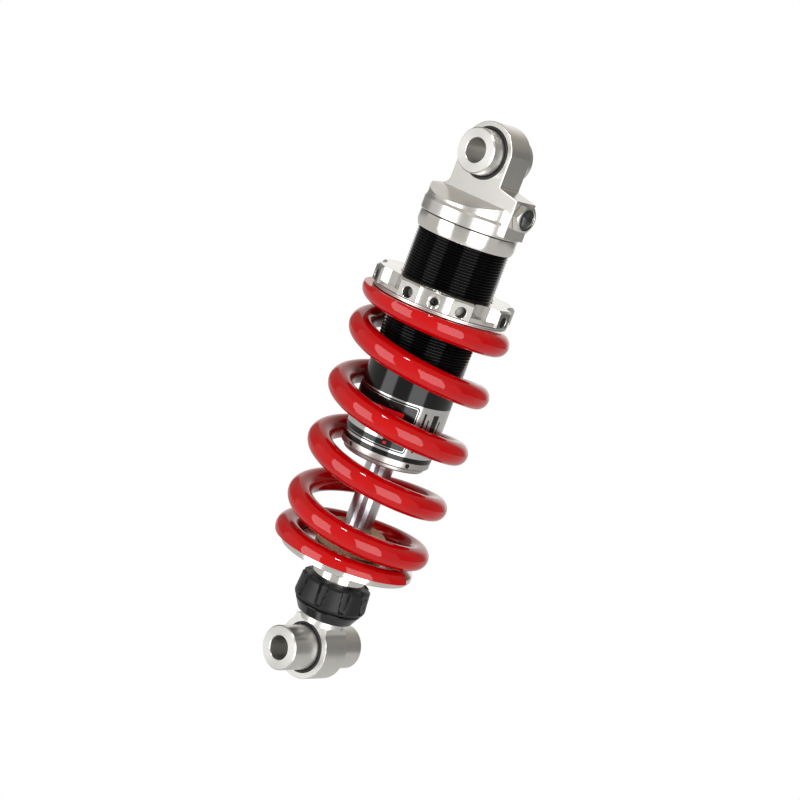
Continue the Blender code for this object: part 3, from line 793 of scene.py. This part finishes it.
def make_seal_head():
    """The tube's end plug, with its spanner holes and the rod wiper."""
    outline = [
        (0.0121, -0.16575),
        (0.0214, -0.16575),
        (0.0219, -0.1652),
        (0.0220, -0.1636),
        (0.0235, -0.1633),
        (FLANGE_R, -0.1628),
        (FLANGE_R, TUBE_LOW - 0.0001),
        (0.0196, TUBE_LOW - 0.0001),
        (0.0196, -0.1400),
        (0.0080, -0.1400),
        (0.0080, -0.1560),
        (0.0121, -0.1575),
    ]
    piece = mesh_object("seal_head_turned", turned(outline, 160, 0.0002))
    holes = [pointing_out(math.radians(degrees), SPANNER_HOLE_Z) for degrees in SPANNER_HOLES]
    for place in holes:
        combined(piece, "DIFFERENCE", drill(SPANNER_HOLE_R, 0.0205, FLANGE_R, 0.00012, 28), place)
    show(piece, "damper_body", "machined_aluminium", "seal_head", "satin_aluminium")
    # Painted shade: the spanner holes' walls and bottoms are coloured dark.
    shade_holes(piece, holes, SPANNER_HOLE_R)
    low, wiper_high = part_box("rod_wiper")[0].z, -0.1620
    lip = [
        (ROD_R + 0.0001, low),
        (0.0092, low + 0.0004),
        (0.0098, low + 0.0011),
        (0.0119, low + 0.0013),
        (0.0119, wiper_high),
        (ROD_R + 0.0001, wiper_high),
    ]
    wiper = mesh_object("rod_wiper_lip", turned(lip, 96, 0.0001))
    show(wiper, "damper_body", "black_rubber", "rod_wiper")


SPRING_TIP = math.radians(146)  # where the wire starts at the top, behind the shock
# Turns of wire from its top end, and the height of its centre there
SPRING_FALL = (
    (0.0, -0.0820), (0.3, -0.0840), (0.6, -0.0878), (0.95, -0.0957), (1.4, -0.1094), (2.0, -0.1284),
    (2.7, -0.1503), (3.4, -0.1723), (4.0, -0.1908), (4.4, -0.2025), (4.75, -0.2103), (5.05, -0.2154),
    (5.3, -0.2179), (5.609, -0.2204),
)
SPRING_TURNS = SPRING_FALL[-1][0]


def spring_height(turn):
    """Height of the wire's centre, `turn` turns below its top end, on a smooth curve."""
    slopes = [(b[1] - a[1]) / (b[0] - a[0]) for a, b in zip(SPRING_FALL, SPRING_FALL[1:])]
    last = len(slopes) - 1
    k = min(last, sum(turn >= start for start, _ in SPRING_FALL[1:]))
    (t0, z0), (t1, z1) = SPRING_FALL[k], SPRING_FALL[k + 1]
    entry = (slopes[k] + slopes[max(0, k - 1)]) / 2
    leave = (slopes[k] + slopes[min(last, k + 1)]) / 2
    s, span = (turn - t0) / (t1 - t0), t1 - t0
    along = (3 * s**2 - 2 * s**3) * (z1 - z0)
    return z0 + along + span * (entry * (s**3 - 2 * s**2 + s) + leave * (s**3 - s**2))


def make_spring():
    """Left-handed coil of round wire whose ends are ground flat."""
    bm = bmesh.new()
    per_turn, sides = 88, 40
    count = round(SPRING_TURNS * per_turn)
    rings = []
    for i in range(count + 1):
        turn = SPRING_TURNS * i / count
        angle = SPRING_TIP + 2 * math.pi * turn
        height = spring_height(turn)
        from_end = min(i, count - i)
        wire = WIRE_R - 0.0005 * max(0, 1 - from_end / 1.5)
        row = []
        for side in range(sides):
            around = 2 * math.pi * side / sides
            reach = SPRING_MEAN_R + wire * math.cos(around)
            z = min(SPRING_HIGH, max(SPRING_LOW, height + wire * math.sin(around)))
            row.append(bm.verts.new((reach * math.cos(angle), reach * math.sin(angle), z)))
        rings.append(row)
    for a, b in zip(rings, rings[1:]):
        for k in range(sides):
            after = (k + 1) % sides
            bm.faces.new((a[k], a[after], b[after], b[k]))
    bm.faces.new(rings[0])
    bm.faces.new(list(reversed(rings[-1])))
    spring = mesh_object("spring_coil", bm)
    show(spring, "damper_body", "red_spring", "coil_spring", sharp=35)
    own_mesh(spring)


LAND_COUNT = 8
FIRST_LAND = math.radians(-79.6)
LAND_HALF = 0.0055
SCALLOP_DEPTH = 0.0034
BOSS_R = 0.0381
BOSS_HALF = 13.3  # degrees of the boss on each side of its screw
SCREW_ANGLE = FIRST_LAND + math.pi / LAND_COUNT


def ring_outline():
    """The preload ring from above: flat lands with a scallop in each gap."""
    half_land = math.asin(LAND_HALF / RING_R)
    half_gap = math.pi / LAND_COUNT - half_land
    points = []
    for land in range(LAND_COUNT):
        middle = FIRST_LAND + 2 * math.pi * land / LAND_COUNT
        for edge in (middle - half_land, middle + half_land):
            points.append((RING_R * math.cos(edge), RING_R * math.sin(edge)))
        for k in range(1, 20):
            part = k / 20
            angle = middle + half_land + 2 * half_gap * part
            chord = RING_R * math.cos(half_gap) / math.cos(angle - middle - half_land - half_gap)
            reach = chord - SCALLOP_DEPTH * (1 - abs(2 * part - 1) ** 3)
            points.append((reach * math.cos(angle), reach * math.sin(angle)))
    return points


def make_preload_ring():
    """Eight flat lands with pin holes, scallops between them and one boss with the lock screw."""
    body = mesh_object("preload_ring_machined", slab(ring_outline(), RING_LOW + 0.0002, RING_HIGH, 0.0002))
    below, above = RING_LOW - 0.001, RING_HIGH + 0.001
    chamfer = [
        (0, below),
        (0.040, below),
        (0.040, RING_HIGH - 0.0039),
        (0.0361, RING_HIGH),
        (0.0351, above),
        (0, above),
    ]
    combined(body, "INTERSECT", turned(chamfer, 160, 0))
    combined(body, "UNION", ring(0.030, LEDGE_R, RING_LOW, LEDGE_TOP, 160, 0.0003))
    middle = math.degrees(SCREW_ANGLE)
    start, end = middle - BOSS_HALF, middle + BOSS_HALF
    boss = arc((0, 0), BOSS_R, start, end, 24) + arc((0, 0), 0.0320, end, start, 6)
    combined(body, "UNION", slab(boss, RING_LOW + 0.0001, RING_HIGH - 0.0002, 0.0004))
    bore = [
        (0, below),
        (RING_BORE_R, below),
        (RING_BORE_R, RING_HIGH - 0.0008),
        (RING_BORE_R + 0.0013, RING_HIGH + 0.0005),
        (0, RING_HIGH + 0.0005),
    ]
    combined(body, "DIFFERENCE", turned(bore, 160, 0))
    lands = [FIRST_LAND + 2 * math.pi * land / LAND_COUNT for land in range(LAND_COUNT)]
    holes = [pointing_out(angle, PIN_HOLE_Z) for angle in lands]
    for place in holes:
        combined(body, "DIFFERENCE", drill(PIN_HOLE_R, 0.0312, 0.0371, 0.00012), place)
    screw_axis = pointing_out(SCREW_ANGLE, SCREW_Z)
    inner_end, hole_r = 0.0230, 0.0021
    countersink = [
        (0, inner_end),
        (hole_r, inner_end),
        (hole_r, BOSS_R - 0.0013),
        (0.0034, BOSS_R),
        (0.0054, BOSS_R + 0.002),
        (0, BOSS_R + 0.002),
    ]
    combined(body, "DIFFERENCE", turned(countersink, 48, 0), screw_axis)
    soften(body, 0.00012, 2, 50)
    show(body, "preload_adjuster", "machined_aluminium", "preload_ring")
    # Painted shade: the pin holes' walls and bottoms are coloured dark.
    shade_holes(body, holes, PIN_HOLE_R)
    shank = [(0, 0.0250), (SCREW_R, 0.0250), (SCREW_R, 0.0330), (0, 0.0330)]
    screw = mesh_object("lock_screw_socket", turned(shank, 40, 0.0003), screw_axis)
    combined(screw, "DIFFERENCE", slab(arc((0, 0), 0.0011, 0, 300, 5), 0.0310, 0.0340, 0), screw_axis)
    # The screw is painted nearly black as the shade in its hole.
    show(screw, "preload_adjuster", "hardened_steel", "lock_screw", "dark_steel_hole_shade")


def make_seat_washer():
    """The washer under the ring, in two thin halves with a fine gap between them."""
    outer, low, high = extent("spring_seat_washer")
    inner, half_gap, edge = 0.0250, 0.00003, 0.00025
    middle = (low + high) / 2
    upper = ring(inner, outer, middle + half_gap, high, 160, edge)
    lower = mesh_object("seat_washer_lower", ring(inner, outer, low, middle - half_gap, 160, edge))
    show(mesh_object("seat_washer_upper", upper), "spring_seat", "sleeve_steel", "spring_seat_washer")
    show(lower, "spring_seat", "sleeve_steel")


def make_rod():
    """The chromed rod, hollow for the needle and stepped down for the piston."""
    low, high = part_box("piston_rod")
    bore, step_r, step_z = 0.0025, 0.0049, -0.1290
    outline = [
        (bore, low.z),
        (ROD_R, low.z),
        (ROD_R, step_z),
        (step_r, step_z),
        (step_r, high.z),
        (bore, high.z),
    ]
    rod = mesh_object("rod_chromed", turned(outline, 96, 0.0002))
    show(rod, "rod_assembly", "hard_chrome", "piston_rod")


def make_perch():
    """The lower spring seat with its pilot, and the foam bump stop that stands on it."""
    seat, bore, pilot_r, collar_r, rim_r = SPRING_LOW - 0.0003, ROD_R + 0.0002, 0.0265, 0.0141, 0.0352
    outline = [
        (bore, PERCH_LOW),
        (collar_r, PERCH_LOW),
        (collar_r, -0.2302),
        (0.0150, -0.2298),
        (0.0335, -0.2246),
        (rim_r, -0.2240),
        (rim_r, -0.2231),
        (PERCH_R, -0.2229),
        (PERCH_R, seat),
        (pilot_r, seat),
        (pilot_r, PILOT_HIGH - 0.0010),
        (pilot_r - 0.0010, PILOT_HIGH),
        (bore, PILOT_HIGH),
    ]
    piece = mesh_object("perch_turned", turned(outline, 160, 0.0003))
    show(piece, "rod_assembly", "machined_aluminium", "spring_perch")
    outer, low, high = extent("bump_stop")
    foam_bore = 0.0079
    foam_outline = [
        (foam_bore, low),
        (outer, low),
        (outer, low + 0.0035),
        (outer - 0.0012, low + 0.0048),
        (outer, low + 0.0061),
        (outer - 0.0004, high - 0.0030),
        (outer - 0.0030, high),
        (foam_bore, high),
    ]
    stop = mesh_object("bump_stop_moulded", turned(foam_outline, 128, 0.0008))
    show(stop, "rod_assembly", "tan_foam", "bump_stop")


RIB_COUNT = 9
RIB_SPACING = 360 / RIB_COUNT
FIRST_RIB = -48
FLUTE_FOOT = -0.2476
GRIP_BORE_R = 0.0099


def knob_radius(height):
    """Outer radius of the knob's ribs at a height."""
    stops = ((KNOB_HIGH, 0.0172), (KNOB_HIGH - 0.0012, 0.0187), (-0.2475, 0.01955), (KNOB_LOW, 0.0190))
    for (z0, r0), (z1, r1) in zip(stops, stops[1:]):
        if height >= z1:
            return r0 + (r1 - r0) * (z0 - height) / (z0 - z1)
    return stops[-1][1]


def flute_depth(degrees, height):
    """Depth of the flute at an angle from the nearest rib's middle: it widens and deepens upwards."""
    top_share = min(1, max(0, (height - FLUTE_FOOT) / (KNOB_HIGH - FLUTE_FOOT)))
    half_rib = 14.6 - 3.4 * top_share
    wall = 2.2
    depth = 0.0011 + 0.0014 * top_share
    inside = (abs(degrees) - half_rib) / wall
    fade = min(1, max(0, (height - FLUTE_FOOT) / 0.0006))
    return depth * min(1, max(0, inside)) * fade


def make_knob():
    """Grip with tapered flutes, and the dial ring below it."""
    bm = bmesh.new()
    bore, per_rib, rows = GRIP_BORE_R, 32, 40
    columns = []
    for i in range(RIB_COUNT * per_rib):
        offset = (i % per_rib) / per_rib * RIB_SPACING
        from_rib = offset - RIB_SPACING if offset > RIB_SPACING / 2 else offset
        angle = math.radians(FIRST_RIB + 360 * i / (RIB_COUNT * per_rib))
        column = [bm.verts.new((bore * math.cos(angle), bore * math.sin(angle), KNOB_LOW))]
        for row in range(rows + 1):
            z = KNOB_LOW + (KNOB_HIGH - KNOB_LOW) * row / rows
            radius = knob_radius(z) - flute_depth(from_rib, z)
            column.append(bm.verts.new((radius * math.cos(angle), radius * math.sin(angle), z)))
        column.append(bm.verts.new((bore * math.cos(angle), bore * math.sin(angle), KNOB_HIGH)))
        columns.append(column)
    skin(bm, columns, closed=True)
    knob = mesh_object("knob_grip", bm)
    show(knob, "rebound_adjuster", "black_plastic", "rebound_knob", sharp=24)
    top = KNOB_LOW - 0.0003
    dial = [
        (bore, DIAL_LOW),
        (0.0145, DIAL_LOW),
        (0.0150, DIAL_LOW + 0.0003),
        (0.0180, -0.2506),
        (0.0176, -0.2502),
        (0.0184, -0.2497),
        (0.0187, -0.2492),
        (0.0187, top),
        (bore, top),
    ]
    piece = mesh_object("dial_ring", turned(dial, 128, 0.0002))
    show(piece, "rebound_adjuster", "black_plastic", "knob_dial", "dial_plastic")


def make_lower_eye():
    """Stem, round neck with flats, flare and eye barrel in one machined piece."""
    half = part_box("lower_seal_rear")[1].y - SEAL_REACH
    barrel_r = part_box("lower_eye")[1].x
    neck_r, stem_r, flats_top, fillet_r, play = 0.0118, 0.0095, -0.2602, 0.0050, 0.0003
    neck = [
        (0, flats_top - 0.004),
        (neck_r, flats_top - 0.004),
        (neck_r, DIAL_LOW - play),
        (stem_r, DIAL_LOW - play),
        (stem_r, PERCH_LOW - play),
        (0, PERCH_LOW - play),
    ]
    eye = mesh_object("lower_eye_machined", turned(neck, 128, 0.0003))
    flat_low = -0.2641
    flat = [(-0.02, flat_low), (0.02, flat_low), (0.02, flats_top), (-0.02, flats_top)]
    for side in (-1, 1):
        offset = Matrix.Translation((0, side * (half + 0.010), 0)) @ STANDING
        combined(eye, "DIFFERENCE", slab(flat, -0.010, 0.010, 0), offset)
    across = Matrix.Translation((0, 0, EYE_Z)) @ ALONG_Y
    reach = barrel_r + fillet_r
    fillet_z = EYE_Z + math.sqrt(reach**2 - (neck_r + fillet_r) ** 2)
    sweep = math.degrees(math.acos((neck_r + fillet_r) / reach))
    flare = [
        (-0.0100, -0.2700),
        (0.0100, -0.2700),
        *arc((neck_r + fillet_r, fillet_z), fillet_r, 180 + sweep, 180, 8),
        (neck_r - 0.0002, flats_top + 0.0004),
        (-neck_r + 0.0002, flats_top + 0.0004),
        *arc((-neck_r - fillet_r, fillet_z), fillet_r, 0, -sweep, 8),
    ]
    combined(eye, "UNION", slab(flare, -half, half, 0), STANDING)
    barrel = slab(arc((0, 0), barrel_r, 0, 357.5, 143), -half, half, 0.0004)
    combined(eye, "UNION", barrel, across)
    combined(eye, "DIFFERENCE", flared_hole(EYE_BORE_R, -half, half, 0.0003), across)
    show(eye, "rod_assembly", "machined_aluminium", "lower_eye", "bead_blasted")


# ---------------------------------------------------------------- studio


CAMERA_AZIMUTH = math.radians(38.06)
CAMERA_DISTANCE = 1.0632
CAMERA_HEIGHT = 0.0723
CAMERA_PAN = math.radians(0.115)
CAMERA_PITCH = math.radians(11.0)
CAMERA_ROLL = math.radians(20.41)
LENS = 94.71
FLOOR_Z = -0.95
CEILING = (0.42, 0.395, 0.345)
LIT_POINT = Vector((0, 0, -0.14))  # where the lamps aim
# Brightness of the room's walls, by degrees round the object from the camera's side
WALLS = (
    (-180, 1.0), (-164, 1.0), (-159, 0.24), (-114, 0.24), (-108, 0.66), (-70, 0.62), (-38, 0.46),
    (6, 0.46), (48, 0.56), (77, 0.60), (82, 0.20), (142, 0.20), (160, 1.0), (180, 1.0),
)


def make_camera():
    place = Vector((math.sin(CAMERA_AZIMUTH), -math.cos(CAMERA_AZIMUTH), 0)) * CAMERA_DISTANCE
    place.z = CAMERA_HEIGHT
    heading = CAMERA_AZIMUTH + CAMERA_PAN
    level = math.cos(CAMERA_PITCH)
    forward = Vector((-math.sin(heading) * level, math.cos(heading) * level, -math.sin(CAMERA_PITCH)))
    right = Vector((math.cos(heading), math.sin(heading), 0))
    upward = right.cross(forward)
    side = right * math.cos(CAMERA_ROLL) + upward * math.sin(CAMERA_ROLL)
    above = upward * math.cos(CAMERA_ROLL) - right * math.sin(CAMERA_ROLL)
    data = bpy.data.cameras.new("photo_camera")
    data.lens = LENS
    data.sensor_width = 36.0
    data.clip_start = 0.01
    camera = bpy.data.objects.new("photo_camera", data)
    turn = Matrix((side, above, -forward)).transposed().to_4x4()
    camera.matrix_world = Matrix.Translation(place) @ turn
    bpy.context.scene.collection.objects.link(camera)
    bpy.context.scene.camera = camera


def soft_box(name, azimuth, elevation, distance, width, height, power, colour=(1, 1, 1)):
    """An area light facing the shock; azimuth is in degrees from the camera's side."""
    angle = CAMERA_AZIMUTH - math.radians(90) + math.radians(azimuth)
    level = math.cos(math.radians(elevation)) * distance
    rise = math.sin(math.radians(elevation)) * distance
    place = LIT_POINT + Vector((math.cos(angle) * level, math.sin(angle) * level, rise))
    aim = (LIT_POINT - place).to_track_quat("-Z", "Y").to_matrix().to_4x4()
    data = bpy.data.lights.new(name, "AREA")
    data.shape = "RECTANGLE"
    data.size = width
    data.size_y = height
    data.energy = power
    data.color = colour
    light = bpy.data.objects.new(name, data)
    light.matrix_world = Matrix.Translation(place) @ aim
    light.visible_camera = False
    bpy.context.scene.collection.objects.link(light)


def make_world():
    """White behind the object; the metal mirrors a dim room whose walls differ with direction."""
    world = bpy.data.worlds.new("studio")
    bpy.context.scene.world = world
    world.use_nodes = True
    tree = world.node_tree
    link = tree.links.new
    tree.nodes.clear()

    def node(kind, **values):
        made = tree.nodes.new(kind)
        for name, value in values.items():
            made.inputs[name.replace("_", " ")].default_value = value
        return made

    def ramp(fac, stops):
        made = tree.nodes.new("ShaderNodeValToRGB")
        made.color_ramp.interpolation = "LINEAR"
        made.color_ramp.elements[0].position = stops[0][0]
        made.color_ramp.elements[1].position = stops[-1][0]
        for place, value in stops[1:-1]:
            made.color_ramp.elements.new(place)
        for element, (place, value) in zip(made.color_ramp.elements, stops):
            element.color = (value, value * 0.985, value * 0.955, 1)
        link(fac, made.inputs[0])
        return made.outputs[0]

    direction = node("ShaderNodeTexCoord").outputs["Generated"]
    parts = node("ShaderNodeSeparateXYZ")
    link(direction, parts.inputs[0])
    turn = node("ShaderNodeVectorRotate", Angle=math.radians(90) - CAMERA_AZIMUTH)
    turn.rotation_type = "Z_AXIS"
    link(direction, turn.inputs["Vector"])
    seen_from = node("ShaderNodeSeparateXYZ")
    link(turn.outputs[0], seen_from.inputs[0])
    around = node("ShaderNodeMath")
    around.operation = "ARCTAN2"
    link(seen_from.outputs["Y"], around.inputs[0])
    link(seen_from.outputs["X"], around.inputs[1])
    share = node("ShaderNodeMapRange", From_Min=-math.pi, From_Max=math.pi)
    link(around.outputs[0], share.inputs["Value"])
    height = node("ShaderNodeMapRange", From_Min=-1)
    link(parts.outputs["Z"], height.inputs["Value"])
    walls = ramp(share.outputs[0], [((degrees + 180) / 360, value) for degrees, value in WALLS])
    above = ramp(height.outputs[0], ((0.0, 0.0), (0.68, 0.0), (0.85, 1.0), (1.0, 1.0)))
    mixed = tree.nodes.new("ShaderNodeMix")
    mixed.data_type = "RGBA"
    mixed.inputs["B"].default_value = (*CEILING, 1)
    link(above, mixed.inputs["Factor"])
    link(walls, mixed.inputs["A"])
    lighting = node("ShaderNodeBackground")
    link(mixed.outputs["Result"], lighting.inputs["Color"])
    seen = node("ShaderNodeBackground", Color=(1, 1, 1, 1))
    chooser = node("ShaderNodeMixShader")
    link(node("ShaderNodeLightPath").outputs["Is Camera Ray"], chooser.inputs[0])
    link(lighting.outputs[0], chooser.inputs[1])
    link(seen.outputs[0], chooser.inputs[2])
    output = node("ShaderNodeOutputWorld")
    link(chooser.outputs[0], output.inputs["Surface"])


def make_floor():
    """A pale floor far below, which the camera doesn't see but the metal mirrors."""
    bm = bmesh.new()
    bmesh.ops.create_grid(bm, x_segments=1, y_segments=1, size=6)
    floor = mesh_object("floor", bm, Matrix.Translation((0, 0, FLOOR_Z)))
    finish = Finish("pale_floor")
    finish.set(Roughness=0.9, Base_Color=(0.25, 0.25, 0.25, 1))
    finish.set(Emission_Strength=0.45, Emission_Color=(1, 0.99, 0.97, 1))
    floor.data.materials.append(finish.material)
    floor.visible_camera = False


make_camera()
make_world()
make_floor()
soft_box("left_box", -50, 1.5, 1.2, 0.72, 1.50, 11.6, (0.98, 0.99, 1.0))
soft_box("right_box", 28, 1.5, 1.2, 0.88, 1.50, 14.2, (0.98, 0.99, 1.0))
soft_box("small_lamp", -12, 66, 1.1, 0.13, 0.10, 2.4)

make_head()
make_lock_ring()
make_valve()
make_eye("upper", 0.0, "damper_body", "upper_spacer")
make_tube()
make_label()
make_seal_head()
make_spring()
make_preload_ring()
make_seat_washer()
make_rod()
make_perch()
make_knob()
make_lower_eye()
make_eye("lower", EYE_Z, "rod_assembly", "lower_spacer")

bpy.context.scene.view_settings.view_transform = "Standard"
bpy.context.scene.view_settings.look = "None"

bpy.context.view_layer.update()
